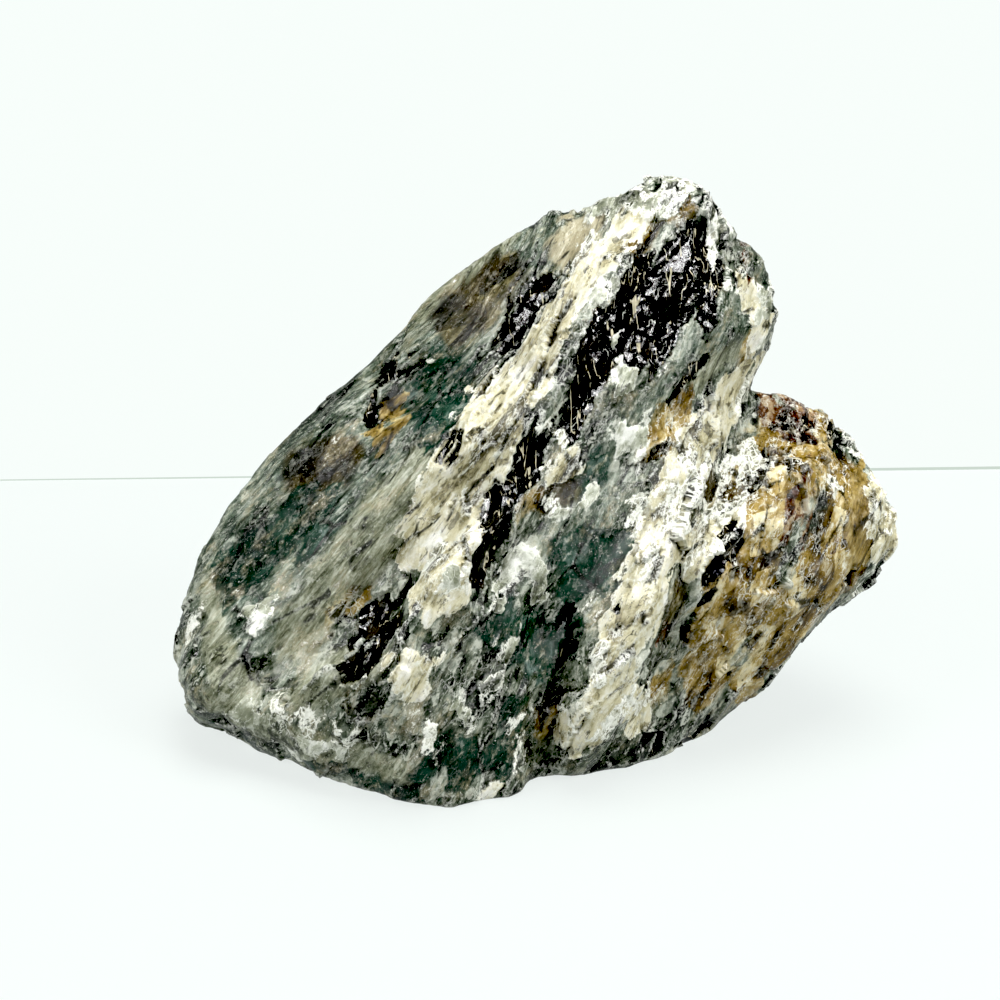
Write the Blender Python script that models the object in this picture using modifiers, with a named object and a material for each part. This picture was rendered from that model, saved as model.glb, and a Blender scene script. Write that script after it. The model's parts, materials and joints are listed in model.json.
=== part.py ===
"""A rough chunk of smoky quartz, broken from a vein and standing on one flat break.

Run it with: blender --background --python part.py

The stone is one solid. Five blocks that grew into each other are built as convex hulls of
their corners, joined, softened into one skin, and roughened by three sizes of fracture
relief. The smallest break, underneath, is flat: the chunk stands on it.

Frame: metres, +X right, +Y away from the front, +Z up. The origin is on the flat base.
"""

import math

import bmesh
import bpy
from mathutils import Matrix, Vector

# ---------------------------------------------------------------- driving dimensions
STONE_WIDTH = 0.140  # across the widest break, along X
CORNER_SPAN = 142.0  # the same width in the units that the corners below are given in
UNIT = STONE_WIDTH / CORNER_SPAN  # a corner's unit is a millimetre at this size

SKIN_VOXEL = 0.0016  # the joined blocks are re-skinned at this spacing, which wears their edges
SKIN_TRIANGLES = 6400  # the finished skin, after thinning

BEDDING_TILT = math.radians(30)  # the growth layers lean this far over from vertical, to the right
BEDDING_STRETCH = 3.0  # a break runs this much further along a layer than across it

STONE_NAME = "smoky_quartz_chunk"

# ---------------------------------------------------------------- the five blocks
# Each block is the convex hull of its corners, (x, y, z). The front of the stone is at -y.

SHOULDER_BLOCK = {
    "nose": (-17, -41, -2),
    "nose_left": (-29, -26, 0),
    "nose_right": (-4, -37, 0),
    "left_foot": (-68, -11, 2),
    "lip_left": (-66, -22, 13),
    "lip_middle": (-40, -34, 11),
    "lip_right": (-24, -42, 9),
    "left_low": (-73, -4, 14),
    "left_middle": (-70, 2, 25),
    "left_high": (-65, 10, 37),
    "left_top": (-55, 14, 48),
    "shoulder_low": (-56, -4, 40),
    "shoulder_middle": (-42, 2, 58),
    "shoulder_high": (-32, 5, 66),
    "crest_foot": (-42, 18, 62),
    "crest_low": (-31, 18, 71),
    "ridge_foot": (-26, -42, 28),
    "ridge_low": (-18, -38, 43),
    "ridge_middle": (-7, -29, 62),
    "ridge_high": (4, -17, 75),
    "back_left_foot": (-54, 24, -1),
    "back_foot": (-22, 41, -1),
    "back_right_foot": (22, 37, -1),
    "back_shoulder": (-38, 37, 42),
    "back_middle": (-6, 43, 46),
}

CROWN_BLOCK = {
    "crest_foot": (-42, 18, 62),
    "crest_low": (-30, 18, 71),
    "crest_left": (-18, 14, 81),
    "crest_middle": (-7, 12, 92),
    "crest_right": (3, 10, 99),
    "shelf_low": (-19, 0, 76),
    "shelf_high": (-2, 0, 90),
    "crown_left": (16, 6, 104),
    "peak": (25, 3, 107),
    "peak_right": (31, 0, 104),
    "brow_high": (36, 2, 99),
    "brow_low": (42, 5, 92),
    "cheek": (45, 5, 79),
    "jaw": (42, 2, 69),
    "ridge_top": (13, -10, 93),
    "ridge_high": (4, -18, 75),
    "dark_face_left": (0, -25, 58),
    "dark_face_right": (14, -21, 62),
    "arris": (34, -9, 82),
    "back_crest": (2, 32, 88),
    "back_brow": (33, 28, 84),
    "back_low_left": (-26, 40, 52),
    "back_low_right": (28, 36, 50),
}

HEART_BLOCK = {
    "front_left": (-20, -35, -1),
    "front_right": (8, -27, -1),
    "valley_left": (-16, -31, 40),
    "valley_right": (16, -26, 42),
    "valley_top": (-2, -23, 62),
    "collar": (24, -14, 63),
    "collar_right": (39, -1, 65),
    "back_left": (-20, 36, 50),
    "back_right": (32, 34, 58),
    "back_left_foot": (-20, 36, -1),
    "back_right_foot": (34, 34, -1),
}

FRONT_RIB = {
    "notch": (42, 6, 66),
    "rib_top": (31, -9, 67),
    "rib_high": (20, -18, 62),
    "rib_upper": (27, -23, 52),
    "rib_middle": (18, -33, 34),
    "rib_lower": (8, -38, 17),
    "foot_left": (3, -33, 3),
    "foot_middle": (11, -25, -1),
    "foot_right": (20, -23, -1),
    "valley_side": (9, -24, 43),
    "back_high": (30, 34, 56),
    "back_foot": (26, 34, -1),
}

RIGHT_LOBE = {
    "notch": (43, 10, 64),
    "lobe_top_left": (52, 9, 57),
    "lobe_top_right": (61, 9, 58),
    "lobe_shoulder": (66, 6, 49),
    "lobe_tip": (72, 0, 36),
    "tip_under": (68, -1, 33),
    "under_high": (58, -7, 26),
    "under_middle": (46, -12, 15),
    "under_low": (37, -13, 6),
    "foot_right": (31, -13, -1),
    "foot_left": (20, -23, -1),
    "face_left": (29, -26, 41),
    "face_right": (43, -21, 32),
    "face_top": (49, -11, 53),
    "back_top": (50, 34, 54),
    "back_tip": (62, 23, 38),
    "back_foot": (36, 33, -1),
    "inner_back_foot": (14, 30, -1),
    "inner_back": (22, 32, 48),
}

# Shallow hollows worn or plucked out of the blocks, as ellipsoids:
# centre, half sizes (along the layers last), and the lean of the long axis in degrees.
HOLLOWS = {
    "streaked_trough": ((-30, -28, 42), (11, 9, 40), 46),
    "honey_pocket": ((-28, -3, 66), (5, 7, 8), 48),
    "smoky_band": ((-1, -31, 53), (4, 5, 26), 31),
}

# ---------------------------------------------------------------- fracture relief
# name, Blender texture type, break size (m), relief height (m)
RELIEF = (
    ("swells", "CLOUDS", 0.020, 0.0030),
    ("ledges", "VORONOI", 0.011, 0.0026),
    ("chips", "VORONOI", 0.0048, 0.0011),
)


def clear_scene():
    for thing in list(bpy.data.objects):
        bpy.data.objects.remove(thing)


def new_collection(name):
    collection = bpy.data.collections.new(name)
    bpy.context.scene.collection.children.link(collection)
    return collection


def move_to(thing, collection):
    for owner in list(thing.users_collection):
        owner.objects.unlink(thing)
    collection.objects.link(thing)


def hull(name, corners, collection):
    """One convex block of stone around its corners."""
    mesh = bpy.data.meshes.new(name)
    shape = bmesh.new()
    for x, y, z in corners.values():
        shape.verts.new((x * UNIT, y * UNIT, z * UNIT))
    made = bmesh.ops.convex_hull(shape, input=shape.verts)
    inner = [v for v in made["geom_interior"] if isinstance(v, bmesh.types.BMVert)]
    bmesh.ops.delete(shape, geom=inner, context="VERTS")
    bmesh.ops.recalc_face_normals(shape, faces=shape.faces)
    shape.to_mesh(mesh)
    shape.free()
    block = bpy.data.objects.new(name, mesh)
    collection.objects.link(block)
    return block


def as_cutter(thing):
    """Keeps a helper shape out of the model."""
    thing.hide_render = True
    thing.display_type = "WIRE"
    return thing


def ellipsoid(name, centre, half_sizes, lean, collection):
    """A rounded cutter whose long axis is z, leaning over to the right."""
    bpy.ops.mesh.primitive_uv_sphere_add(segments=32, ring_count=16, radius=UNIT)
    cutter = bpy.context.object
    cutter.name = name
    cutter.data.transform(Matrix.Diagonal((*half_sizes, 1)))
    cutter.rotation_euler = (0, math.radians(lean), 0)
    cutter.location = Vector(centre) * UNIT
    move_to(cutter, collection)
    return as_cutter(cutter)


def boolean(stone, other, operation):
    cut = stone.modifiers.new(operation.lower() + "_" + other.name, "BOOLEAN")
    cut.operation = operation
    cut.object = other
    cut.solver = "EXACT"


def reskin(stone, name, wear):
    """One even skin over everything so far, with its edges worn by so many rounds of smoothing."""
    skin = stone.modifiers.new(name, "REMESH")
    skin.mode = "VOXEL"
    skin.voxel_size = SKIN_VOXEL
    worn = stone.modifiers.new(name + "_worn", "SMOOTH")
    worn.factor = 0.5
    worn.iterations = wear


def bedding_axes(collection):
    """An empty along the growth layers: textures that are read in it stretch along them."""
    axes = bpy.data.objects.new("bedding_axes", None)
    axes.rotation_euler = (0, BEDDING_TILT, 0)
    axes.scale = (1, 1, BEDDING_STRETCH)
    collection.objects.link(axes)
    return axes


def roughen(stone, axes):
    """Fracture relief, from the broad swells down to the chips."""
    for name, kind, size, height in RELIEF:
        texture = bpy.data.textures.new(name, kind)
        texture.noise_scale = size
        relief = stone.modifiers.new(name, "DISPLACE")
        relief.texture = texture
        relief.texture_coords = "OBJECT"
        relief.texture_coords_object = axes
        relief.strength = height
        relief.mid_level = 0.4


def thin_out(stone):
    """Fewer triangles where the stone is nearly flat."""
    graph = bpy.context.evaluated_depsgraph_get()
    skin = stone.evaluated_get(graph).to_mesh()
    skin.calc_loop_triangles()
    triangles = len(skin.loop_triangles)
    thinned = stone.modifiers.new("thinned", "DECIMATE")
    thinned.ratio = SKIN_TRIANGLES / triangles


def base_cutter(collection):
    """A block whose top is the flat break that the chunk stands on."""
    depth = STONE_WIDTH
    bpy.ops.mesh.primitive_cube_add(size=2 * STONE_WIDTH, location=(0, 0, -depth))
    cutter = bpy.context.object
    cutter.name = "base_cutter"
    move_to(cutter, collection)
    return as_cutter(cutter)


def smoky_quartz():
    material = bpy.data.materials.new("smoky_quartz")
    material.use_nodes = True
    shader = material.node_tree.nodes["Principled BSDF"]
    shader.inputs["Base Color"].default_value = (0.19, 0.17, 0.13, 1)
    shader.inputs["Roughness"].default_value = 0.3
    shader.inputs["Metallic"].default_value = 0.0
    shader.inputs["IOR"].default_value = 1.54
    return material


def build():
    clear_scene()
    parts = new_collection(STONE_NAME)
    helpers = new_collection("cutters")

    stone = hull(STONE_NAME, SHOULDER_BLOCK, parts)
    stone.data.materials.append(smoky_quartz())
    for name, corners in (
        ("crown_block", CROWN_BLOCK),
        ("heart_block", HEART_BLOCK),
        ("front_rib", FRONT_RIB),
        ("right_lobe", RIGHT_LOBE),
    ):
        boolean(stone, as_cutter(hull(name, corners, helpers)), "UNION")
    for name, (centre, half_sizes, lean) in HOLLOWS.items():
        boolean(stone, ellipsoid(name, centre, half_sizes, lean, helpers), "DIFFERENCE")

    reskin(stone, "joined_skin", 2)
    roughen(stone, bedding_axes(helpers))
    reskin(stone, "broken_skin", 1)
    thin_out(stone)
    boolean(stone, base_cutter(helpers), "DIFFERENCE")


build()
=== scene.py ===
# %% [markdown]
# # A rough chunk of smoky quartz
# The real thing is a fist-sized piece of vein quartz that was broken out with a hammer. It grew in
# thin layers, and it broke along them, so its surface is a pile of long glassy splinters. The plain
# solid of the stone is already there in the frame. This lesson grows a fine, broken skin over it and
# then paints the minerals into that skin: black smoky quartz, creamy and honey veins, milky chips.

# %% Load the plain solid
import itertools
import json
import math

import bpy
import numpy as np
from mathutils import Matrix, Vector, noise

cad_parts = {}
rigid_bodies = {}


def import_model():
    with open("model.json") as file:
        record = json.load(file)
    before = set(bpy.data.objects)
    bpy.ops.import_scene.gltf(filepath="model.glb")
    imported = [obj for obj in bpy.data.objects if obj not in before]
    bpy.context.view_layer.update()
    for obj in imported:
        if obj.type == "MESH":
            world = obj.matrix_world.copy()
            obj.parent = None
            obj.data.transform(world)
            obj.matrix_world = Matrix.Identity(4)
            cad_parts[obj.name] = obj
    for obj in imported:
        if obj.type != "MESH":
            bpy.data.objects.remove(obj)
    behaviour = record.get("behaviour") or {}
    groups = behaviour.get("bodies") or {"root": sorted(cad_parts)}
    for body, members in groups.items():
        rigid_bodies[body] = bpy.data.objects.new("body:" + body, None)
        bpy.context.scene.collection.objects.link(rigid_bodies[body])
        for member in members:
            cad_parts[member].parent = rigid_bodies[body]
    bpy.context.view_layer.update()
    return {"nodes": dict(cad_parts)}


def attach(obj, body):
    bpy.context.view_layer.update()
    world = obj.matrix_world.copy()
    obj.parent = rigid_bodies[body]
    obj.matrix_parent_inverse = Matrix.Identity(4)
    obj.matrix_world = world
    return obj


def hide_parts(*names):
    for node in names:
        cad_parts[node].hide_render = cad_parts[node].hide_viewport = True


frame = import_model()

MM = 0.001
STONE = "smoky_quartz_chunk"

# %% [markdown]
# ## The camera
# A stone like this is shown from a little above the table. A 60 mm lens from about 32 cm away keeps
# its proportions, and the camera tips down by the same angle that it stands above the stone's middle.

# %% Camera
TIP_DOWN = math.radians(18)
CAMERA_DISTANCE = 323 * MM
LOOK_AT = Vector((-7.2 * MM, 0, 44.5 * MM))

lens = bpy.data.cameras.new("camera")
lens.lens = 60
lens.clip_start = 0.01
camera = bpy.data.objects.new("camera", lens)
camera.rotation_euler = (math.pi / 2 - TIP_DOWN, 0, 0)
camera.location = LOOK_AT + CAMERA_DISTANCE * Vector((0, -math.cos(TIP_DOWN), math.sin(TIP_DOWN)))
bpy.context.scene.collection.objects.link(camera)
bpy.context.scene.camera = camera
print("camera at", [round(v / MM) for v in camera.location], "mm")

# %% [markdown]
# ## Two small tools for materials
# Colours are written as the sRGB hex values that a paint chart gives, and one function turns them
# into the linear values that the shader works with. One more function adds a node, sets its
# properties, and links or fills its inputs. Every material below is made with these two.

# %% Colour and node tools
def linear(hex_colour):
    """An sRGB hex colour as linear red, green, blue and alpha."""
    channels = [int(hex_colour[i:i + 2], 16) / 255 for i in (1, 3, 5)]
    return (*[c / 12.92 if c <= 0.04045 else ((c + 0.055) / 1.055) ** 2.4 for c in channels], 1)


def add(tree, kind, inputs=None, stops=(), **settings):
    """Adds one node. An input is a value, a node (its first output) or one output of a node."""
    node = tree.nodes.new("ShaderNode" + kind)
    for name, value in settings.items():
        setattr(node, name, value)
    for key, value in (inputs or {}).items():
        socket = node.inputs[key] if isinstance(key, int) else next(
            s for s in node.inputs if s.name == key and s.enabled)
        if isinstance(value, bpy.types.Node):
            value = next(s for s in value.outputs if s.enabled)
        if isinstance(value, bpy.types.NodeSocket):
            tree.links.new(value, socket)
        else:
            socket.default_value = value
    for number, (place, colour) in enumerate(stops):
        ramp = node.color_ramp.elements
        stop = ramp[number] if number < 2 else ramp.new(place)
        stop.position = place
        stop.color = linear(colour)
    return node


def new_material(name):
    material = bpy.data.materials.new(name)
    material.use_nodes = True
    material.node_tree.nodes.clear()
    return material, material.node_tree


print("a middle grey in linear light:", round(linear("#808080")[0], 3))

# %% [markdown]
# ## The table
# The stone stands on a plain white board. Its back edge isn't quite square to the view, and a thin
# grey line of painted shade stands in the gap between it and the white room behind. The board glows
# a little, like a light table, so that the shadows on it stay faint. It glows less towards the stone
# than towards the eye, or its reflection would fill every black face with grey.

# %% Table
TABLE_SIZE = 3.0
TABLE_BACK = 161 * MM  # behind the middle of the stone
BACK_SLANT = 0.039     # the back edge runs away from the front this much per unit to the right
GLOW_SEEN, GLOW_GIVEN = 0.78, 0.45

half = TABLE_SIZE / 2
back_left = (-half, TABLE_BACK - BACK_SLANT * half, 0)
back_right = (half, TABLE_BACK + BACK_SLANT * half, 0)
board = bpy.data.meshes.new("table")
board.from_pydata([(-half, -half, 0), (half, -half, 0), back_right, back_left], [], [(0, 1, 2, 3)])
table = bpy.data.objects.new("table", board)
bpy.context.scene.collection.objects.link(table)

material, tree = new_material("white_laminate")
ray = add(tree, "LightPath")
strength = add(tree, "MapRange", {
    "Value": ray.outputs["Is Camera Ray"], "To Min": GLOW_GIVEN, "To Max": GLOW_SEEN})
paint = add(tree, "BsdfPrincipled", {
    "Base Color": linear("#525654"),
    "Roughness": 0.6,
    "Emission Color": linear("#fafffd"),
    "Emission Strength": strength,
})
add(tree, "OutputMaterial", {"Surface": paint})
board.materials.append(material)
print("the board's back edge is", round(TABLE_BACK / MM), "mm behind the stone's middle")

# %% [markdown]
# The painted shade in the gap is a thin upright strip on the board's back edge. It glows grey and
# widens to the right.

# %% Gap
GAP_REACH = 300 * MM
GAP_LEFT, GAP_RIGHT = 0.1 * MM, 1.2 * MM

edge = [(side * GAP_REACH, TABLE_BACK + BACK_SLANT * side * GAP_REACH) for side in (-1, 1)]
corners = [(*edge[0], 0), (*edge[1], 0), (*edge[1], GAP_RIGHT), (*edge[0], GAP_LEFT)]
strip = bpy.data.meshes.new("gap")
strip.from_pydata(corners, [], [(0, 1, 2, 3)])
gap = bpy.data.objects.new("gap", strip)
bpy.context.scene.collection.objects.link(gap)
material, tree = new_material("painted_shade_gap")
# painted shade: the strip glows pale grey where the gap between board and room lies in shade
shade = add(tree, "Emission", {"Color": linear("#d0dcd2"), "Strength": 1.0})
add(tree, "OutputMaterial", {"Surface": shade})
strip.materials.append(material)
print("the gap grows from", GAP_LEFT / MM, "to", GAP_RIGHT / MM, "mm")

# %% [markdown]
# ## The light
# The room is bright white to the eye, but it gives the stone only a third of that as light. Three
# big soft lights stand round the stone, and three small ones put the glints on its glassy breaks.
# What is dimmer than the black point is shown as black, so the darkest quartz is truly black.

# %% Room
ROOM_LIGHT = 0.30
BLACK_POINT = 0.048

room = bpy.data.worlds.new("white_room")
room.use_nodes = True
tree = room.node_tree
tree.nodes.clear()
ray = add(tree, "LightPath")
strength = add(tree, "MapRange", {
    "Value": ray.outputs["Is Camera Ray"], "To Min": ROOM_LIGHT, "To Max": 1.0})
glow = add(tree, "Background", {"Color": linear("#f8fefb"), "Strength": strength})
add(tree, "OutputWorld", {"Surface": glow})
bpy.context.scene.world = room
print("the room gives", ROOM_LIGHT, "of the light that it shows")

shown = bpy.context.scene.view_settings
shown.view_transform = "Standard"
shown.look = "None"
shown.use_curve_mapping = True
shown.curve_mapping.black_level = (BLACK_POINT,) * 3
shown.curve_mapping.update()

# %% [markdown]
# The big lights are kept out of the reflections, as black flags would keep them out on a real set:
# mirrored in the glassy faces they would turn the black quartz grey. The small ones are only there
# to be mirrored, and make the glints.

# %% Lights
LIGHTS = {
    # name: (place in metres, width in metres, power in watts, mirrored)
    "top_softbox": ((0.08, 0.12, 0.95), 0.60, 13.5, False),
    "left_softbox": ((-0.80, -0.45, 0.55), 0.45, 5.8, False),
    "right_softbox": ((0.75, -0.40, 0.60), 0.40, 8.3, False),
    "front_glint": ((-0.25, -0.75, 0.75), 0.10, 6.0, True),
    "left_glint": ((-0.55, -0.35, 0.60), 0.08, 3.5, True),
    "right_glint": ((0.50, -0.45, 0.50), 0.08, 3.5, True),
}
for name, (place, width, power, mirrored) in LIGHTS.items():
    light = bpy.data.lights.new(name, "AREA")
    light.size = width
    light.energy = power
    lamp = bpy.data.objects.new(name, light)
    lamp.location = place
    lamp.rotation_euler = (Vector(place) - LOOK_AT).to_track_quat("Z", "Y").to_euler()
    lamp.visible_glossy = mirrored
    lamp.visible_diffuse = not mirrored
    bpy.context.scene.collection.objects.link(lamp)
print(len(LIGHTS), "lights")

# %% [markdown]
# ## A fine skin over the solid
# The plain solid has flat triangles a few millimetres wide. A voxel remesh lays an even grid of small
# squares over it, which can hold every chip, and a few rounds of smoothing melt the triangles away.
# Sculpting by hand would do the same job, but the numbers here can be changed and run again.

# %% Fine skin
SKIN_GRID = 0.55 * MM
MELT_ROUNDS = 10

fine = bpy.data.objects.new("fine_skin", frame["nodes"][STONE].data.copy())
bpy.context.scene.collection.objects.link(fine)
remesh = fine.modifiers.new("grid", "REMESH")
remesh.mode = "VOXEL"
remesh.voxel_size = SKIN_GRID
melt = fine.modifiers.new("melt", "SMOOTH")
melt.factor = 0.5
melt.iterations = MELT_ROUNDS
evaluated = fine.evaluated_get(bpy.context.evaluated_depsgraph_get())
skin = bpy.data.meshes.new_from_object(evaluated)
bpy.data.objects.remove(fine)


def read_vectors(values_of, name):
    values = np.empty(len(values_of) * 3)
    values_of.foreach_get(name, values)
    return values.reshape(-1, 3)


places = read_vectors(skin.vertices, "co") / MM  # every point of the skin, in millimetres
outward = read_vectors(skin.vertex_normals, "vector")
print("the skin has", len(places), "points")

# %% [markdown]
# ## Which way the layers run
# Quartz in a vein grows in layers, and here they lean over at about 60 degrees. Left of the creamy
# vein they fan out towards the foot. Each point of the skin gets three new numbers: how far along
# the layers it is, how far across them, and how deep. Noise that is squeezed across the layers and
# stretched along them then gives fibres and splinters that all follow the growth of the stone.

# %% Layer coordinates
LEAN = math.radians(60)
VEIN_OFFSET = 36.0  # the creamy vein's distance across the layers from the origin, mm
FAN_FOCUS = 110.0   # the fan's lines would meet this far up the vein, mm
FAN_TRUE = 100.0    # this far from there the layers keep their own spacing, mm
FAN_LEAST = 45.0    # nearer than this they run parallel, mm

x, y, z = places.T
along = x * math.cos(LEAN) + z * math.sin(LEAN)
across = x * math.sin(LEAN) - z * math.cos(LEAN) + VEIN_OFFSET
fan = FAN_TRUE / np.maximum(FAN_FOCUS - along, FAN_LEAST)
across = np.where(across < 0, across * fan, across)
layered = np.stack([along, across, y], axis=1)
print("across the layers:", across.min().round(), "to", across.max().round(), "mm")

# %% [markdown]
# ## Three kinds of noise
# Soft noise makes swells and wandering edges. Ridged noise, which folds soft noise over at zero,
# makes long creases.

# %% Soft and ridged noise
SEED_SHIFT = 17.3  # each seed reads the noise in a place of its own


def soft_noise(points, seed):
    shifted = points + SEED_SHIFT * seed
    return np.array([noise.noise(p) for p in shifted.tolist()])


def fractal_noise(points, seed, octaves=3):
    return sum(soft_noise(points * 2 ** k, seed + k) / 2 ** k for k in range(octaves))


def ridged_noise(points, seed):
    return 1 - 2 * np.abs(soft_noise(points, seed))


print("soft noise at three points:", soft_noise(places[:3] / 20, 1).round(2))

# %% [markdown]
# Broken cells make splinters: space is shared out between scattered points, and each cell gets a
# random tilt, so that neighbours meet at a sharp little step as split quartz does.

# %% Broken cells
# Any large, uneven numbers will do here: they only stir the cell's own numbers well.
STIR_CELL, STIR_SEED, STIR_CHANNEL, STIR_SINE = (127.1, 311.7, 74.7), 53.1, 19.7, 43758.5453


def scatter(cells, seed, channel):
    """A repeatable random number from 0 to 1 for each whole-numbered cell."""
    mixed = cells @ np.array(STIR_CELL) + STIR_SEED * seed + STIR_CHANNEL * channel
    return np.modf(np.abs(np.sin(mixed) * STIR_SINE))[0]


def splinters(points, slope, step, seed):
    """Heights of tilted breaks, and each point's ways to its cell's edge and from its middle."""
    home = np.floor(points)
    nearest = np.full(len(points), np.inf)
    second = nearest.copy()
    owner = np.zeros_like(points)
    offset = np.zeros_like(points)
    for shift in itertools.product((-1, 0, 1), repeat=3):
        cell = home + shift
        away = points - cell - np.stack([scatter(cell, seed, c) for c in range(3)], axis=1)
        distance = np.linalg.norm(away, axis=1)
        closer = distance < nearest
        second = np.where(closer, nearest, np.minimum(second, distance))
        nearest = np.where(closer, distance, nearest)
        owner[closer] = cell[closer]
        offset[closer] = away[closer]
    tilt = np.stack([scatter(owner, seed, c) - 0.5 for c in (3, 4, 5)], axis=1)
    level = scatter(owner, seed, 6) - 0.5
    rise = 2 * slope * (tilt * offset).sum(axis=1) + 2 * step * level
    return rise, second - nearest, offset


print("a cell's first random numbers:", [scatter(np.zeros(3), 1, c).round(2).item() for c in range(3)])

# %% [markdown]
# ## Where each mineral is
# The veins are laid out like brush strokes on the front of the stone, each a line with a width, in
# millimetres across and up. Every stroke runs right through the stone from front to back, because a
# vein is a sheet, and it wanders more the deeper it goes, so that the back has the same minerals in
# a pattern of its own.

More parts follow.
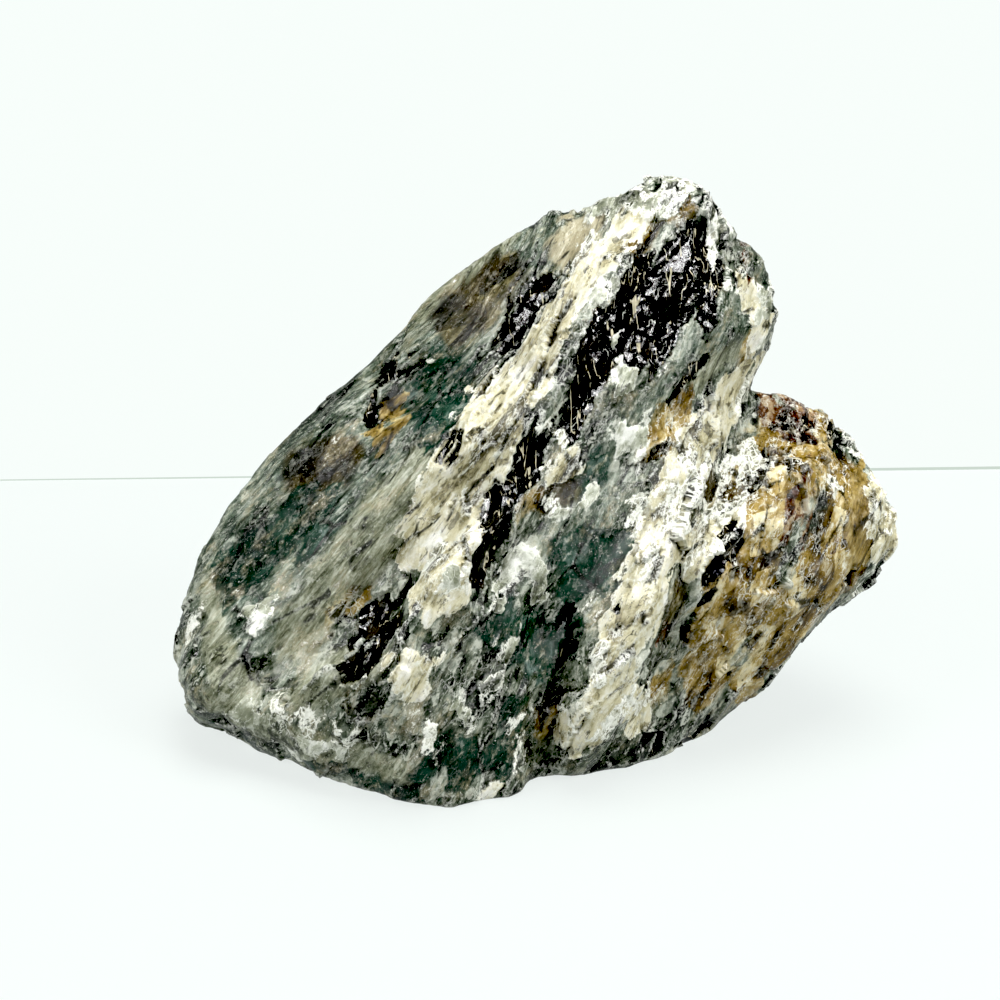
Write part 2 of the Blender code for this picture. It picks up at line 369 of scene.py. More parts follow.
# %% Strokes
# mineral: strokes of (across, up, half width) in millimetres
STROKES = {
    "calm": (
        (
            (-61, 22, 6), (-53, 36, 14), (-43, 50, 14.5), (-32, 64, 10.5), (-21, 78, 8.5), (-7, 90, 5.5),
            (4, 95, 3),
        ),
        ((12, 62, 2.5), (22, 70, 4), (33, 78, 5.5), (41, 84, 4)),
        ((9, 59, 5), (9, 49, 5), (4, 40, 5.5)),
        ((-7, 33, 3.5), (0, 28, 3.5)),
        ((57, 40, 7), (62, 46, 4.5)),
        ((53, 33, 4.5), (48, 26, 4)),
    ),
    "fibre": (
        ((-46, 24, 3.5), (-38, 35, 5), (-29, 45, 5.5), (-22, 55, 4), (-15, 63, 2)),
        ((-63, 27, 2.5), (-60, 21, 4), (-55, 16, 3.5)),
        ((39, 76, 2), (32, 74, 2), (27, 69, 1.5)),
        ((-43, 16, 2), (-35, 23, 2), (-29, 28, 1.5)),
        ((-60, 14, 2.5), (-51, 9, 3), (-38, 9, 3.5), (-25, 7, 2.5)),
        ((-3, 96, 1.5), (-9, 92, 2), (-18, 83, 2), (-25, 74, 1)),
    ),
    "olive": (
        ((-45, 50, 4), (-39, 54, 4), (-35, 56, 2.5)),
        ((-16, 79, 3.5), (-11, 83, 4), (-5, 89, 3)),
        ((1, 53, 2.5), (5, 54, 2.5), (9, 54, 1.5)),
        ((30, 54, 2), (32, 49, 2)),
        ((-55, 36, 2.5), (-52, 38, 2)),
        ((49, 30, 2), (51, 24, 1.5)),
        ((25, 36, 1.5), (24, 32, 2), (23, 26, 1.5)),
        ((23, 57, 1.5), (22, 54, 1.5)),
    ),
    "teal": (
        ((7, 42, 5.5), (11, 43, 6), (13, 38, 4)),
        ((9, 60, 2.5), (10, 56, 3), (8, 53, 2)),
        ((-8, 32, 4.5), (-2, 28, 4.5), (0, 22, 3.5)),
        ((-20, 7, 2), (-15, 11, 3.5), (-10, 7, 2.5)),
        ((-59, 32, 3.5), (-53, 37, 4), (-46, 42, 4), (-40, 47, 3.5)),
        ((-21, 65, 5), (-17, 69, 5.5), (-19, 62, 3)),
        ((-63, 7, 1), (-52, 1, 1), (-39, 5, 1), (-28, 2, 1.5), (-20, 1, 1.5)),
        ((-6, 19, 2), (-4, 10, 2)),
        ((21, 48, 2.5), (22, 46, 1.5)),
        ((-18, 12, 3), (-13, 7, 3), (-7, 8, 2.5)),
        ((-13, 69, 2.5), (-11, 67, 2.5)),
        ((5, 33, 2.5), (5, 26, 2)),
    ),
    "honey": (
        ((30, 14, 4), (35, 29, 6.5), (37, 40, 7.5), (41, 49, 7), (48, 56, 5)),
        (
            (40, 8, 2.5), (44, 20, 5), (49, 30, 6.5), (56, 36, 8), (60, 43, 6), (58, 49, 5),
            (53, 55, 4.5), (45, 58, 3.5),
        ),
        ((29, 31, 2.5), (33, 33, 2.5)),
        ((30, 18, 2.5), (33, 22, 2.5)),
        ((17, 96, 2), (19, 98, 2)),
        ((23, 100, 1.5), (27, 100, 1)),
        ((21, 61, 3), (24, 65, 3), (26, 68, 2)),
        ((-1, 53, 1), (-1, 51, 1)),
        ((1, 12, 2), (3, 14, 2)),
        ((21, 15, 2.5), (24, 18, 2)),
        ((38, 73, 1), (40, 78, 1)),
        ((-39, 29, 1.5), (-33, 32, 1)),
    ),
    "gold": (
        ((-30, 60, 1.5), (-28, 62, 2), (-26, 64, 1.5)),
        ((61, 49, 2), (62, 43, 3), (60, 35, 2.5)),
    ),
    "cream": (
        (
            (15, 96, 2), (11, 92, 2.5), (6, 86, 3), (1, 78, 3), (-4, 71, 3.5), (-9, 65, 5), (-14, 56, 6),
            (-18, 48, 6.5), (-19, 41, 6), (-20, 40, 3.5),
        ),
        ((35, 65, 4.5), (31, 61, 5.5), (28, 56, 4)),
        ((25, 59, 2.5), (22, 52, 3), (19, 43, 4.5), (18, 36, 5), (14, 28, 4.5), (13, 20, 4), (20, 9, 2)),
        ((27, 43, 4), (33, 47, 4)),
        ((6, 10, 2.5), (9, 15, 3), (12, 17, 2)),
        ((-23, 25, 3), (-24, 28, 3), (-20, 28, 2)),
        ((5, 59, 2), (3, 57, 1.5)),
        ((-11, 1, 1), (-7, 2, 1)),
        ((42, 80, 2), (40, 72, 2), (37, 69, 2.5)),
        ((18, 100, 2.5), (16, 98, 2.5)),
        ((13, 26, 3), (11, 19, 3.5), (9, 12, 2.5)),
        ((64, 45, 2.5), (66, 41, 3.5), (67, 36, 3)),
        ((68, 41, 2.5), (69, 36, 2.5)),
        ((38, 89, 1.5), (41, 82, 2), (41, 74, 2)),
    ),
    "beige": (
        ((10, 98, 2), (7, 95, 3), (4, 93, 2.5)),
    ),
    "russet": (
        ((45, 62, 2), (49, 60, 2.5), (52, 58, 2)),
        ((48, 52, 0.5), (47, 48, 1), (45, 43, 1.5)),
        ((56, 39, 0.5), (55, 38, 0.5)),
        ((38, 92, 1), (39, 88, 1)),
        ((29, 96, 0.5), (31, 85, 0.5)),
        ((21, 28, 0.5), (25, 30, 0.5)),
        ((45, 55, 0.5), (46, 55, 0.5)),
        ((51, 48, 1), (50, 42, 1)),
    ),
    "smoky": (
        ((27, 97, 2), (24, 88, 5), (21, 81, 4.5), (16, 76, 3.5)),
        ((19, 94, 2), (16, 86, 4), (12, 79, 4), (8, 72, 3.5), (6, 66, 3)),
        ((30, 96, 2.5), (31, 89, 2.5), (30, 82, 2.5)),
        ((0, 65, 2), (-3, 58, 3), (-7, 51, 3), (-10, 45, 2), (-12, 38, 1)),
        ((0, 86, 3), (-3, 83, 2.5), (-6, 77, 1.5)),
        ((-30, 68, 1.5), (-26, 70, 1.5), (-23, 71, 1)),
        ((-31, 65, 1), (-32, 62, 1.5)),
        ((-14, 63, 1), (-16, 60, 1), (-18, 57, 0.5)),
        ((-36, 25, 1.5), (-30, 29, 1.5), (-25, 36, 1)),
        ((29, 74, 1.5), (27, 72, 1.5), (24, 69, 1)),
        ((36, 44, 1.5), (33, 41, 1.5), (31, 39, 1)),
        ((32, 37, 1), (29, 32, 1), (27, 26, 1)),
        ((58, 58, 1.5), (60, 56, 1)),
        ((52, 58, 1), (50, 57, 1)),
        ((21, 8, 1), (19, 5, 1)),
        ((29, 2, 1), (33, 6, 1)),
        ((4, 35, 1), (5, 28, 1), (4, 24, 0.5)),
        ((11, 23, 0.5), (10, 19, 0.5)),
        ((-66, 18, 1), (-65, 21, 0.5)),
        ((38, 91, 1), (39, 89, 1)),
        ((22, 3, 1.5), (29, 2, 1.5), (34, 4, 1)),
        ((22, 49, 0.5), (21, 44, 0.5), (19, 39, 0.5)),
        ((27, 51, 0.5), (26, 46, 0.5)),
        ((14, 36, 0.5), (13, 31, 0.5)),
    ),
    "milky": (
        ((11, 100, 2), (18, 102, 3), (25, 103, 2.5), (29, 101, 1.5)),
        ((-7, 37, 2), (-5, 40, 3), (-2, 42, 3), (0, 37, 2)),
        ((14, 64, 2), (17, 62, 2.5), (19, 65, 1.5)),
        ((3, 51, 1.5), (7, 51, 1.5), (10, 53, 1)),
        ((42, 85, 1.5), (43, 79, 1.5), (42, 74, 1.5)),
        ((14, 78, 1), (15, 75, 1), (15, 72, 1)),
        ((-9, 23, 1.5), (-9, 21, 1.5)),
        ((-16, 42, 1.5), (-16, 41, 1.5)),
        ((14, 92, 0.5), (12, 88, 1), (9, 84, 0.5)),
        ((-50, 11, 1), (-43, 10, 1), (-34, 9, 1)),
        ((-56, 28, 1), (-53, 28, 1.5), (-50, 30, 1)),
        ((-7, 28, 1.5), (-3, 29, 1)),
        ((-14, 20, 1), (-12, 16, 1)),
        ((-56, 12, 1.5), (-50, 8, 1.5), (-41, 8, 1.5)),
        ((-34, 22, 1), (-29, 26, 1)),
        ((-53, 12, 1), (-47, 10, 1.5), (-38, 10, 1)),
    ),
    "crust": (
        ((33, 93, 1.5), (35, 89, 1.5)),
        ((39, 67, 1), (38, 64, 1.5)),
        ((30, 55, 1.5), (35, 54, 2), (39, 55, 2), (41, 52, 1.5), (34, 49, 2)),
        ((53, 50, 1.5), (57, 47, 1.5)),
        ((16, 51, 1.5), (17, 48, 1.5), (18, 44, 1)),
        ((3, 64, 1.5), (5, 62, 1.5), (2, 66, 1)),
        ((-48, 15, 0.5), (-45, 15, 0.5), (-41, 15, 0.5)),
        ((-35, 12, 0.5), (-32, 14, 0.5)),
        ((-20, 18, 1), (-19, 14, 1), (-18, 8, 1)),
        ((15, 19, 1), (19, 14, 1)),
        ((11, 28, 1), (9, 25, 1)),
        ((9, 35, 0.5), (8, 32, 0.5)),
        ((65, 31, 0.5), (59, 22, 0.5), (53, 14, 0.5), (46, 3, 0.5), (41, -3, 0.5)),
        ((-7, 74, 1), (-8, 71, 0.5)),
        ((-20, 73, 1), (-21, 72, 0.5)),
        # a painted glint: this white spot stands where a facet mirrors a light
        ((20, 77, 0.5), (23, 74, 0.5)),
        ((44, 53, 1), (42, 55, 1)),
        ((62, 56, 1), (64, 49, 1)),
        ((29, 102, 1), (32, 98, 1), (34, 95, 1)),
        ((27, 59, 1.5), (30, 46, 1.5), (27, 41, 1)),
        ((-13, 52, 0.5), (-11, 48, 0.5), (-14, 42, 0.5)),
        ((24, 52, 2), (21, 46, 2), (19, 40, 1.5)),
        ((36, 49, 2), (33, 46, 2)),
        ((13, 29, 1), (11, 25, 1.5)),
        ((15, 16, 2), (11, 11, 1.5)),
        ((19, 102, 1.5), (25, 103, 2), (28, 101, 1.5)),
        ((-17, 45, 1), (-19, 40, 1)),
        ((9, 95, 1), (7, 92, 1)),
        ((-27, 21, 1), (-24, 23, 1)),
        ((0, 58, 1), (2, 53, 1)),
        ((-5, 14, 1), (-4, 7, 1), (-7, 2, 1)),
        ((4, 18, 1), (5, 14, 1)),
        ((-38, 15, 1), (-34, 11, 1)),
        ((-65, 26, 0.5), (-67, 20, 0.5)),
        ((66, 44, 0.5), (69, 39, 0.5)),
        ((-44, 14, 1), (-40, 13, 1)),
    ),
}
print("strokes:", sum(len(strokes) for strokes in STROKES.values()))

# %% [markdown]
# A stroke's mask is 1 well inside it, 0 well outside, and 0.5 on its edge. The places are pushed
# about by noise before they are measured, so that no edge runs straight. A crisp mineral breaks off
# with its splinter, so its places are drawn towards the middle of their splinter first, and its
# edges come out angular.

# %% Masks
EDGE_SOFTNESS = 1.5  # mm over which a mask falls from 1 to 0
CALM_SOFTNESS = 6.0  # the calm parts fade into the rough ones
FRONT_Y = -20.0      # the front of the stone, where the strokes are true
SNAP = 0.60          # how far each edge is drawn on to the edges of the splinters
SOFT_EDGED = ("calm", "fibre", "olive", "beige")
PATCHY = {"crust": 0.68, "milky": 0.85, "cream": 0.90, "honey": 0.95}  # these let others show through


def stroke_depth(flat, stroke):
    """How far inside a stroke each point is, in millimetres; less than zero is outside."""
    deepest = np.full(len(flat), -np.inf)
    for (x0, z0, r0), (x1, z1, r1) in zip(stroke, stroke[1:]):
        start = np.array([x0, z0], float)
        run = np.array([x1, z1], float) - start
        share = np.clip((flat - start) @ run / (run @ run), 0, 1)
        gap = np.linalg.norm(flat - start - share[:, None] * run, axis=1)
        deepest = np.maximum(deepest, r0 + share * (r1 - r0) - gap)
    return deepest


SPLINTER, SPLINTER_TILT, SPLINTER_STEP = (6.0, 3.0, 4.0), 0.40, 0.18  # mm along, across and deep
splinter, _, from_middle = splinters(layered / SPLINTER, SPLINTER_TILT, SPLINTER_STEP, 32)
to_middle = from_middle * SPLINTER
snap = np.stack([
    to_middle[:, 0] * math.cos(LEAN) + to_middle[:, 1] * math.sin(LEAN),
    to_middle[:, 0] * math.sin(LEAN) - to_middle[:, 1] * math.cos(LEAN)], axis=1)

WANDER_FRONT, WANDER_MORE = 1.2, 9.0  # mm that an edge wanders in front, and how much more behind
WANDER_GROWS, WANDER_FULL = 25, 50    # mm behind the front where it starts to, and mm that it takes
WANDER_SIZE = (7, 2.5, 4)             # mm along, across and deep
behind = np.clip((places[:, 1] - FRONT_Y - WANDER_GROWS) / WANDER_FULL, 0, 1)
wander = WANDER_FRONT + WANDER_MORE * behind
push = np.stack([fractal_noise(layered / WANDER_SIZE, seed) for seed in (1, 5)], axis=1)
flat_places = places[:, [0, 2]] + push * wander[:, None]
snapped_places = flat_places - SNAP * snap
masks = {}
for mineral, strokes in STROKES.items():
    measured = flat_places if mineral in SOFT_EDGED else snapped_places
    depth = np.max([stroke_depth(measured, stroke) for stroke in strokes], axis=0)
    softness = CALM_SOFTNESS if mineral == "calm" else EDGE_SOFTNESS
    masks[mineral] = PATCHY.get(mineral, 1) * np.clip(0.5 + depth / softness, 0, 1)
print({mineral: f"{mask.mean():.0%}" for mineral, mask in masks.items()})

# %% [markdown]
# ## Breaking the skin
# Broad scallops come first, then ledges, splinters and chips, each about half the size of the last,
# and last the fine fibres along the layers. The creamy and white parts are crumbly and break rough.
# The grey fibrous trough and the black glass are smoother. Milky plates stand proud of the rest, and
# the black glass has sunk. The flat base is left alone.

# %% Breaks
CRUMBLY = {"cream": 0.25, "crust": 0.4, "honey": 0.3}  # added to the roughness of a break
CRUMBLY_LEAST, CRUMBLY_MOST = 0.8, 1.3
SMOOTH = {"fibre": 1.0, "beige": 1.0, "calm": 0.9, "teal": 0.7, "milky": 0.6}
SMOOTH_LOSS, SMOKY_LOSS = 0.7, 0.3  # of the roughness, where the stone is smooth or black
PROUD = {"milky": 0.7, "cream": 0.3, "crust": 0.3, "smoky": -0.9}  # mm above the rest
BASE_FADE = 1.5  # mm above the flat base where the relief is full

# Sizes are mm along, across and deep. Swells, creases and fibres have a height in mm, and the
# others have a tilt and a step from cell to cell.
SWELL, SWELL_HEIGHT = (30, 12, 16), 0.9
CREASE, CREASE_HEIGHT = (24, 4.5, 9), 0.30
LEDGE, LEDGE_TILT, LEDGE_STEP = (17, 6.5, 9), 1.0, 0.40
CHIP, CHIP_TILT, CHIP_STEP = (3.0, 1.7, 2.0), 0.15, 0.05
FIBRE, FIBRE_HEIGHT = (14, 1.3, 3), 0.06

crumbly = sum((share * masks[mineral] for mineral, share in CRUMBLY.items()), CRUMBLY_LEAST)
smooth_parts = np.max([share * masks[mineral] for mineral, share in SMOOTH.items()], axis=0)
crumbly = np.minimum(crumbly, CRUMBLY_MOST)
crumbly = crumbly * (1 - SMOOTH_LOSS * smooth_parts) * (1 - SMOKY_LOSS * masks["smoky"])

swell = SWELL_HEIGHT * fractal_noise(layered / SWELL, 11)
crease = CREASE_HEIGHT * ridged_noise(layered / CREASE, 21)
ledge, ledge_edge, _ = splinters(layered / LEDGE, LEDGE_TILT, LEDGE_STEP, 31)
chip, _, _ = splinters(layered / CHIP, CHIP_TILT, CHIP_STEP, 33)
fibre = FIBRE_HEIGHT * ridged_noise(layered / FIBRE, 41)

rise = swell + crumbly * (crease + ledge + splinter + chip) + fibre
rise += sum(height * masks[mineral] for mineral, height in PROUD.items())
rise *= np.clip(places[:, 2] / BASE_FADE, 0, 1)
print(f"the breaks rise {rise.max():.1f} mm and fall {-rise.min():.1f} mm")

broken = places + outward * rise[:, None]
broken[:, 2] = np.maximum(broken[:, 2], 0)
skin.vertices.foreach_set("co", (broken * MM).ravel())
skin.update()

# %% [markdown]
# ## Edges and pits
# A chipped edge scatters light and looks white, and the pits are painted black as painted shade.
# Comparing each point with its neighbours tells which is which: an edge stands above their average,
# and a pit below it.

# %% Edges and pits
links = np.empty(len(skin.edges) * 2, dtype=int)
skin.edges.foreach_get("vertices", links)
one_end, other_end = links.reshape(-1, 2).T
neighbours = np.bincount(links, minlength=len(broken))


def neighbour_mean(values):
    total = np.zeros_like(values)
    for a, b in ((one_end, other_end), (other_end, one_end)):
        for axis in range(3):
            total[:, axis] += np.bincount(a, weights=values[b, axis], minlength=len(values))
    return total / neighbours[:, None]


def stands_out(rounds):
    """How far each point stands above its surroundings, mm."""
    around = broken
    for _ in range(rounds):
        around = neighbour_mean(around)
    return ((broken - around) * read_vectors(skin.vertex_normals, "vector")).sum(axis=1)


FINE_ROUNDS, BROAD_ROUNDS = 2, 12  # each round looks one grid square further
fine_edge = stands_out(FINE_ROUNDS)
broad_edge = stands_out(BROAD_ROUNDS)
print(f"fine edges to {fine_edge.max():.2f} mm, broad ones to {broad_edge.max():.2f} mm")

# %% [markdown]
# ## The stone
# The broken skin becomes the stone. It is shaded smooth, except where two breaks meet sharply. All
# that the material needs to know is kept on the skin's points.

# %% Stone object
SHARP_ANGLE = math.radians(38)

stone = bpy.data.objects.new("quartz_skin", skin)
bpy.context.scene.collection.objects.link(stone)
skin.shade_smooth()
skin.set_sharp_from_angle(angle=SHARP_ANGLE)
skin.materials.clear()

kept = {"layers": layered, "upright": places}
kept |= {"fine_edge": fine_edge, "broad_edge": broad_edge, "ledge_edge": ledge_edge} | masks
for name, values in kept.items():
    kind, field = ("FLOAT_VECTOR", "vector") if values.ndim == 2 else ("FLOAT", "value")
    skin.attributes.new(name, kind, "POINT").data.foreach_set(field, values.ravel())
print("kept on the skin:", ", ".join(kept))

# %% [markdown]
# ## The patterns in the minerals
# Smoky quartz is clear glass that natural radiation has browned, and where it is thick it looks
# black. Thin or cracked quartz lets light back out, and looks honey, grey or white. So the depth of
# colour, the mottling and the white cracks are painted on, under one glassy gloss. All of them start
# from these patterns, which are squeezed across the layers or, in the black glass, across the upright.

# %% Patterns
quartz, tree = new_material("smoky_quartz")
on_skin = {}
for name, values in kept.items():
    attribute = add(tree, "Attribute", attribute_name=name)
    on_skin[name] = attribute.outputs["Vector" if values.ndim == 2 else "Fac"]

PATTERNS = {
    # name: (kind of place, squeeze, size in mm, detail, roughness, distortion)
    "broad": ("layers", (0.35, 1.0, 0.6), 9.0, 3, 0.50, 0.3),
    "soft": ("layers", (0.50, 1.0, 0.7), 4.5, 5, 0.55, 0.5),
    "clouds": ("upright", (1.0, 1.0, 1.0), 5.0, 5, 0.58, 0.6),
    "fibres": ("layers", (0.15, 1.0, 0.4), 0.55, 5, 0.66, 0.6),
    "streaks": ("layers", (0.20, 1.0, 0.45), 2.2, 4, 0.62, 0.6),
    "flecks": ("layers", (0.60, 1.0, 0.8), 0.9, 5, 0.70, 0.3),
    "grain": ("upright", (1.0, 1.0, 1.0), 0.40, 3, 0.70, 0.0),
    "wisps": ("layers", (0.30, 1.0, 0.5), 2.0, 4, 0.62, 0.4),
    "crazing": ("upright", (1.0, 0.5, 0.12), 2.2, 2, 0.50, 0.1),
    "crushed": ("layers", (0.60, 1.0, 0.8), 3.0, 5, 0.65, 0.3),
}
patterns = {}
for name, (kind, squeeze, size, detail, rough, warp) in PATTERNS.items():
    squeezed = add(tree, "VectorMath", {0: on_skin[kind], 1: squeeze}, operation="MULTIPLY")
    patterns[name] = add(tree, "TexNoise", {
        "Vector": squeezed, "Scale": 1 / size, "Detail": detail, "Roughness": rough, "Distortion": warp})
print(len(patterns), "patterns")

# %% [markdown]
# Broken plates and small facets come from cells again, and so does the net of white cracks in
# crushed quartz. Their places are pushed about first, so that no line runs straight.

# %% Plates, facets and net
PLATE_SIZE, FACET_SIZE, NET_SIZE = 4.5, 1.5, 1.2  # mm
CURL, SMALL_CURL = 1.0, 0.6  # mm

squeezed = add(tree, "VectorMath", {0: on_skin["layers"], 1: (0.6, 1.0, 0.8)}, operation="MULTIPLY")
curled = squeezed
for name, reach in (("soft", CURL), ("flecks", SMALL_CURL)):
    curl = patterns[name].outputs["Color"]
    curl = add(tree, "VectorMath", {0: curl, 1: (reach,) * 3}, operation="MULTIPLY")
    curled = add(tree, "VectorMath", {0: curled, 1: curl}, operation="ADD")
for name, size in (("plates", PLATE_SIZE), ("facets", FACET_SIZE)):
    cells = add(tree, "TexVoronoi", {"Vector": curled, "Scale": 1 / size})
    patterns[name] = add(tree, "SeparateColor", {"Color": cells.outputs["Color"]})
tilt = add(tree, "VectorMath", {0: cells.outputs["Color"], 1: (0.5, 0.5, 0.5)}, operation="SUBTRACT")
away = add(tree, "VectorMath", {0: curled, 1: cells.outputs["Position"]}, operation="SUBTRACT")
facet = add(tree, "VectorMath", {0: away, 1: tilt}, operation="DOT_PRODUCT")
net = add(tree, "TexVoronoi", {"Vector": curled, "Scale": 1 / NET_SIZE}, feature="DISTANCE_TO_EDGE")
print("plates, facets and a net of", PLATE_SIZE, FACET_SIZE, "and", NET_SIZE, "mm")

# %% [markdown]
# ## The minerals
# Each mineral has its own light and dark, which is a mixture of the patterns by weight, and a row of
# colours that runs from its darkest to its lightest. Later minerals lie over earlier ones. Clear
# minerals blend into each other softly, and the crusts and the black glass have crisp edges.

# %% Mixtures
def mixture(weights):
    """Patterns added up by weight. Each varies round 0.5, and so does their sum."""
    level = 0.5 - 0.5 * sum(weights.values())
    for name, weight in weights.items():
        level = add(tree, "Math", {0: patterns[name], 1: weight, 2: level}, operation="MULTIPLY_ADD")
    return level


MIXTURES = {
    "clear": {"broad": 0.3, "soft": 0.4, "streaks": 0.3, "fibres": 0.5, "flecks": 0.3, "plates": 0.08},
    "broken": {"broad": 0.3, "soft": 0.4, "wisps": 0.6, "flecks": 0.4, "plates": 0.14, "facets": 0.2},
    "waxy": {"broad": 0.3, "clouds": 0.7, "wisps": 0.3, "flecks": 0.2, "plates": 0.26, "facets": 0.05},
    "plain": {"broad": 0.2, "clouds": 0.5, "flecks": 0.15, "plates": 0.12},
    "fibrous": {"broad": 0.25, "soft": 0.3, "streaks": 0.5, "fibres": 0.7, "grain": 0.2},
    "sugary": {"broad": 0.3, "soft": 0.7, "wisps": 0.4, "flecks": 0.3, "plates": 0.12, "facets": 0.1},
    "grainy": {"broad": 0.3, "soft": 0.5, "flecks": 0.6, "facets": 0.2, "grain": 0.4},
}
MINERALS = {
    # name: (mixture, softness of its edge, (roughness, flecked, cracked), colours from dark to light)
    "body": ("broken", 0.0, (0.22, 0.60, 0.40), ("#060806", "#20261e", "#485043", "#80877a", "#c2c6b8")),
    "calm": ("clear", 0.6, (0.14, 0.35, 0.25), ("#0a100c", "#263128", "#4a564a", "#768276", "#b4bdb2")),
    "fibre": ("fibrous", 0.6, (0.38, 0.35, 0.15), ("#393c2f", "#64684f", "#8a8d77", "#abae98", "#d0d3c2")),
    "olive": ("waxy", 0.5, (0.22, 0.15, 0.15), ("#0e0a04", "#20190b", "#342c16", "#4c452a", "#7c7453")),
    "teal": ("plain", 0.2, (0.10, 0.25, 0.15), ("#060d0a", "#11211b", "#1e3129", "#2f453a", "#70817a")),
    "honey": ("waxy", 0.3, (0.15, 0.30, 0.60), ("#1d1307", "#5e4a20", "#846e36", "#a18c56", "#d3c79e")),
    "gold": ("clear", 0.1, (0.30, 0.10, 0.10), ("#2a200c", "#5f4e26", "#87733f", "#a5925c", "#cfc393")),
    "cream": ("sugary", 0.08, (0.30, 0.55, 0.50), ("#4a4530", "#9a9373", "#c6c09f", "#dedac3", "#f8f7f0")),
    "beige": ("clear", 0.4, (0.40, 0.05, 0.05), ("#6f684e", "#898166", "#9c957a", "#aea88f", "#c9c5b3")),
    "russet": ("broken", 0.15, (0.15, 0.30, 0.40), ("#050201", "#1c0c05", "#3c1e0f", "#5d3b22", "#a08b6b")),
    "smoky": ("broken", 0.04, (0.08, 0.05, 0.00), ("#010101", "#010101", "#020202", "#040403", "#2a251c")),
    "milky": ("waxy", 0.1, (0.28, 0.30, 0.70), ("#363a2e", "#696d5b", "#90947f", "#b6b9a8", "#eff0e8")),
    "crust": ("grainy", 0.1, (0.35, 0.90, 1.00), ("#17170f", "#55543f", "#918f78", "#c3c3b3", "#f6f6ef")),
}
print(len(MINERALS), "minerals")

# %% [markdown]
# Each mineral is laid over the ones before it, where its mask and some ragged noise together pass
# one half. Its roughness, and how flecked and cracked it is, are laid down in the same way.

# %% Lay the minerals over each other
DARKEST, LIGHTEST = 0.33, 0.67  # the ends of a mixture
RAGGED = {"soft": 0.9, "flecks": 0.7, "grain": 0.2}
RAGGED_REACH = 1.8  # how far the ragged noise moves a mineral's edge, in parts of its mask
EDGE_BLUR = 0.04    # to each side of one half

ragged = mixture(RAGGED)
depth_in = {}
for name, (kind, softness, traits_here, colours) in MINERALS.items():
    tone = add(tree, "MapRange", {
        "Value": mixture(MIXTURES[kind]), "From Min": DARKEST, "From Max": LIGHTEST})
    here = add(tree, "ValToRGB", {"Fac": tone}, stops=zip((0.0, 0.25, 0.5, 0.75, 1.0), colours))
    if name == "body":
        colour, traits = here, (*traits_here, 1)
        continue
    blur = EDGE_BLUR + softness
    inside = add(tree, "Math", {0: ragged, 1: RAGGED_REACH, 2: on_skin[name]}, operation="MULTIPLY_ADD")
    depth_in[name] = add(tree, "Math", {0: inside, 1: RAGGED_REACH / 2}, operation="SUBTRACT")
    share = add(tree, "MapRange", {
        "Value": depth_in[name], "From Min": 0.5 - blur, "From Max": 0.5 + blur})
    colour = add(tree, "Mix", {"Factor": share, "A": colour, "B": here}, data_type="RGBA")
    traits = add(tree, "Mix", {"Factor": share, "A": traits, "B": (*traits_here, 1)}, data_type="RGBA")
traits = add(tree, "SeparateColor", {"Color": traits})
roughness, flecked, cracked = traits.outputs
print("laid over the body:", ", ".join(depth_in))

# %% [markdown]
# ## Flecks, cracks and rims, painted glints and painted shade
# Over the colours lie the marks of breaking. Chipped edges, hairline cracks and the net of cracks in
# crushed quartz are white, because they scatter the light. The small bright specks of grain are
# painted glints. The pits and the gaps along the steps between ledges are black, which is painted
# shade. A crack is a line where a pattern passes through its middle value, so the distance from that
# middle is needed first.

# %% Lines
MIDDLE = 0.5
RIM = 0.58  # a mineral's rim lies just inside its edge

to_line = {}
for names, source, place in (
        (("wisps", "crazing", "streaks"), patterns, MIDDLE),
        (("cream", "milky", "crust"), depth_in, RIM)):
    for name in names:
        past = add(tree, "Math", {0: source[name], 1: place}, operation="SUBTRACT")
        to_line[name] = add(tree, "Math", {0: past}, operation="ABSOLUTE")
print("lines:", ", ".join(to_line))

# %% [markdown]
# Each mark is found where every one of its conditions holds. A condition has three parts: a value,
# the level of it that gives none of the mark, and the level that gives all of it.

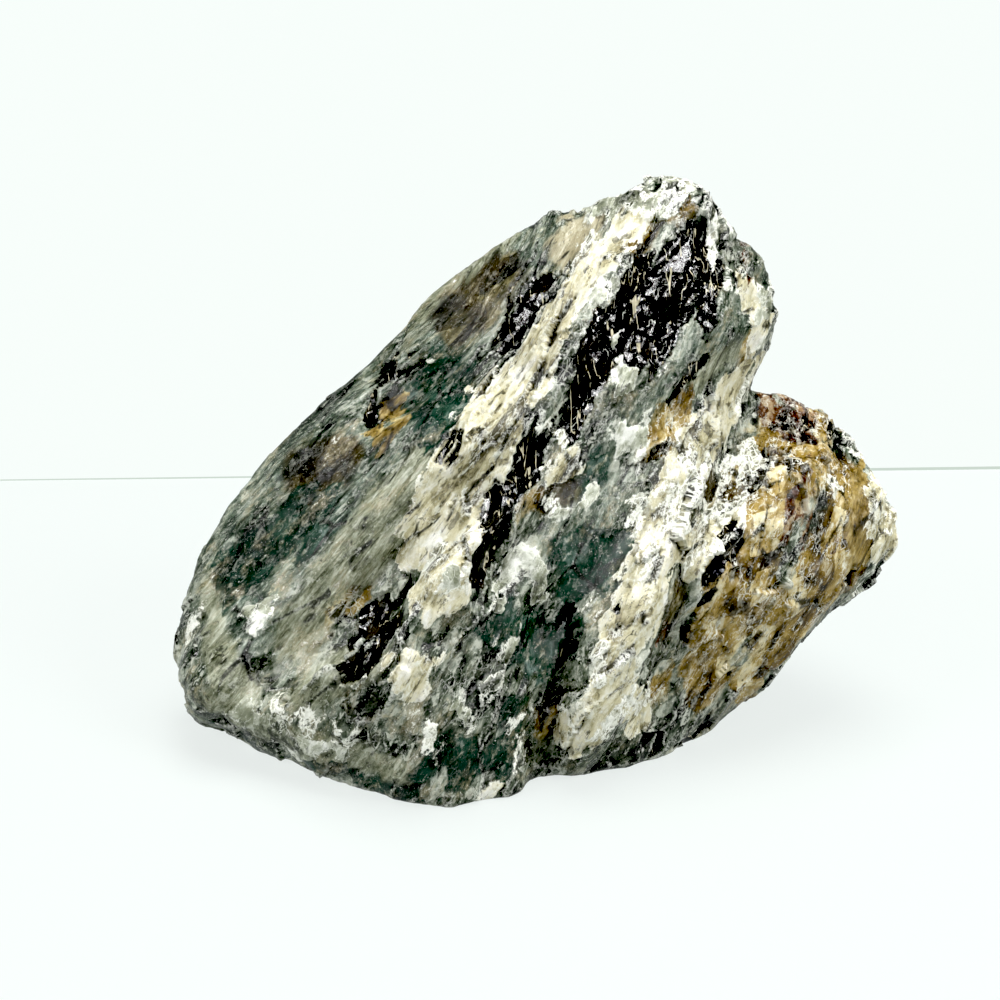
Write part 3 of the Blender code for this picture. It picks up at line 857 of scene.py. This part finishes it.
# %% Marks
WHITE, PALE, CREAM, BLACK = "#f4f5ec", "#dfe1d4", "#d8d0b4", "#050604"
to_crack = net.outputs["Distance"]
crushed, facets, in_smoky = patterns["crushed"], patterns["facets"], depth_in["smoky"]
MARKS = (
    # (colour, strength, conditions)
    # painted shade: black in the pits, where a point lies below its surroundings
    (BLACK, 0.9, ((on_skin["broad_edge"], -0.12, -0.50),)),
    # painted shade: black in the gaps along the steps between ledges
    (BLACK, 0.9, ((on_skin["ledge_edge"], 0.08, 0.03), (patterns["soft"], 0.50, 0.44))),
    (BLACK, 0.8, ((to_line["streaks"], 0.012, 0.005), (crushed, 0.49, 0.45))),
    (BLACK, 0.8, ((facets, 0.12, 0.11), (crushed, 0.50, 0.45), (flecked, 0.0, 0.8))),
    (PALE, 0.8, ((patterns["flecks"], 0.60, 0.64), (flecked, -0.2, 1.0))),
    (PALE, 0.8, ((facets, 0.88, 0.89), (patterns["flecks"], 0.46, 0.54), (flecked, 0.0, 0.8))),
    (PALE, 0.8, ((to_line["wisps"], 0.018, 0.007), (crushed, 0.48, 0.53), (cracked, 0.0, 0.7))),
    (BLACK, 0.8, ((patterns["fibres"], 0.36, 0.32), (patterns["soft"], 0.54, 0.48))),
    (PALE, 0.7, ((patterns["fibres"], 0.66, 0.70), (flecked, 0.0, 0.5))),
    (WHITE, 0.8, ((to_crack, 0.05, 0.012), (crushed, 0.52, 0.58), (cracked, 0.0, 0.9))),
    (WHITE, 0.9, ((to_crack, 0.10, 0.03), (depth_in["crust"], 0.5, 0.6), (patterns["soft"], 0.40, 0.46))),
    (WHITE, 0.6, ((to_crack, 0.05, 0.015), (in_smoky, 0.4, 0.6), (crushed, 0.62, 0.65))),
    (CREAM, 0.8, ((to_line["crazing"], 0.016, 0.006), (in_smoky, 0.5, 0.8), (crushed, 0.51, 0.55))),
    (WHITE, 0.7, ((to_line["cream"], 0.09, 0.03), (patterns["flecks"], 0.42, 0.50))),
    (WHITE, 0.8, ((to_line["milky"], 0.09, 0.03), (patterns["flecks"], 0.42, 0.50))),
    (WHITE, 0.8, ((to_line["crust"], 0.09, 0.03), (patterns["flecks"], 0.42, 0.50))),
    (WHITE, 0.8, ((on_skin["fine_edge"], 0.05, 0.13), (patterns["grain"], 0.4, 0.55), (flecked, 0.0, 1.0))),
    # painted glints: bright white specks of grain scattered over the stone
    (WHITE, 0.9, ((patterns["grain"], 0.67, 0.70), (flecked, 0.0, 0.3))),
)
for hue, share, conditions in MARKS:
    for value, none, full in conditions:
        holds = add(tree, "MapRange", {
            "Value": value, "From Min": none, "From Max": full}, interpolation_type="SMOOTHSTEP")
        share = add(tree, "Math", {0: share, 1: holds}, operation="MULTIPLY")
    colour = add(tree, "Mix", {"Factor": share, "A": colour, "B": linear(hue)}, data_type="RGBA")
print(len(MARKS), "kinds of marks")

# %% [markdown]
# ## Relief and gloss
# Relief that is too small for the skin's grid is given by a bump: the tilt of each small facet, the
# fibres, and the grain. Quartz bends light as 1.544, and that sets how brightly it reflects.

# %% Quartz
QUARTZ_IOR = 1.544
FACET_RELIEF, GRAIN_RELIEF, RELIEF_HEIGHT = 0.5, 0.15, 1.0 * MM
FIBRE_RELIEF, CRACKED_FIBRE_RELIEF = 0.22, 0.05  # cracked minerals show less of their fibres
RELIEF_STRENGTH, SMOKY_STRENGTH = 0.8, 0.25      # the black glass broke smoother

fibre_relief = add(tree, "MapRange", {
    "Value": cracked, "From Min": 0.1, "From Max": 0.6,
    "To Min": FIBRE_RELIEF, "To Max": CRACKED_FIBRE_RELIEF})
height = 0.0
for value, weight in (
        (facet.outputs["Value"], FACET_RELIEF),
        (patterns["fibres"], fibre_relief),
        (patterns["grain"], GRAIN_RELIEF)):
    height = add(tree, "Math", {0: value, 1: weight, 2: height}, operation="MULTIPLY_ADD")
strength = add(tree, "MapRange", {
    "Value": in_smoky, "From Min": 0.4, "From Max": 0.6,
    "To Min": RELIEF_STRENGTH, "To Max": SMOKY_STRENGTH})
relief = add(tree, "Bump", {"Strength": strength, "Distance": RELIEF_HEIGHT, "Height": height})
glass = add(tree, "BsdfPrincipled", {
    "Base Color": colour,
    "Roughness": roughness,
    "IOR": QUARTZ_IOR,
    "Normal": relief,
})
add(tree, "OutputMaterial", {"Surface": glass})
skin.materials.append(quartz)
print("the material has", len(tree.nodes), "nodes")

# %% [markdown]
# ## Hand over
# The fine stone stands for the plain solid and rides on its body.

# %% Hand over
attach(stone, "root")
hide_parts(STONE)
